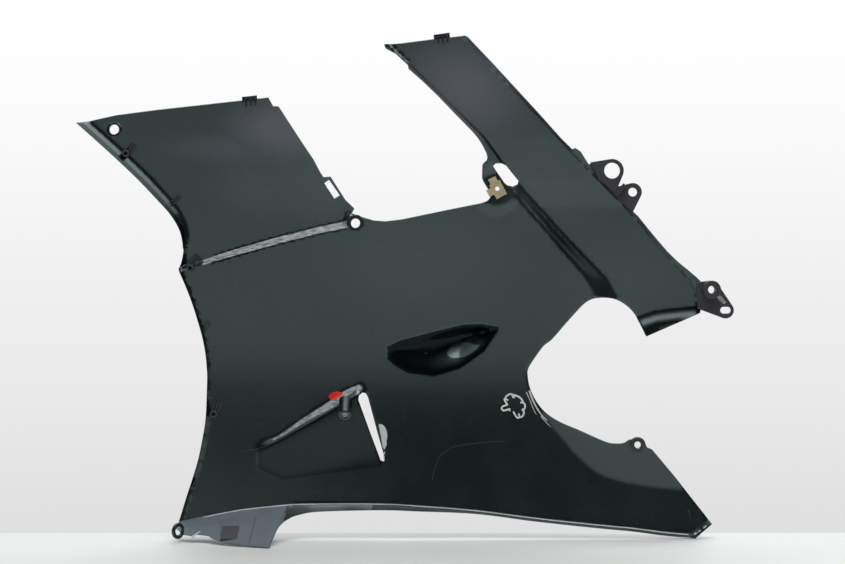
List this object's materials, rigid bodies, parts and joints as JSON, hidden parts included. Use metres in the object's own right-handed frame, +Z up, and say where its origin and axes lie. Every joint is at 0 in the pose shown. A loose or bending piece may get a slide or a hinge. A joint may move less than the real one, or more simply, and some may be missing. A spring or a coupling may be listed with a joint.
{
  "type": "motorcycle side fairing panel",
  "caption": "Moulded motorcycle side fairing panel with a front lobe, rear arm, lower tail, vent scoop, ears and a spring nut.",
  "frame": {"origin": "centre of the ear bore where the front lobe and the main panel meet, at the sheet's inner face", "axes": "+X along the panel towards the rear, +Y outwards from the machine (painted side), +Z up"},
  "size_m": [0.787, 0.1147, 0.6041],
  "materials": {
    "moulded_abs": "semi-gloss black injection-moulded ABS",
    "zinc_steel": "yellow zinc-plated spring steel"
  },
  "bodies": {
    "root": {"fairing_panel": "moulded_abs", "spring_nut": "zinc_steel"}
  },
  "joints": []
}
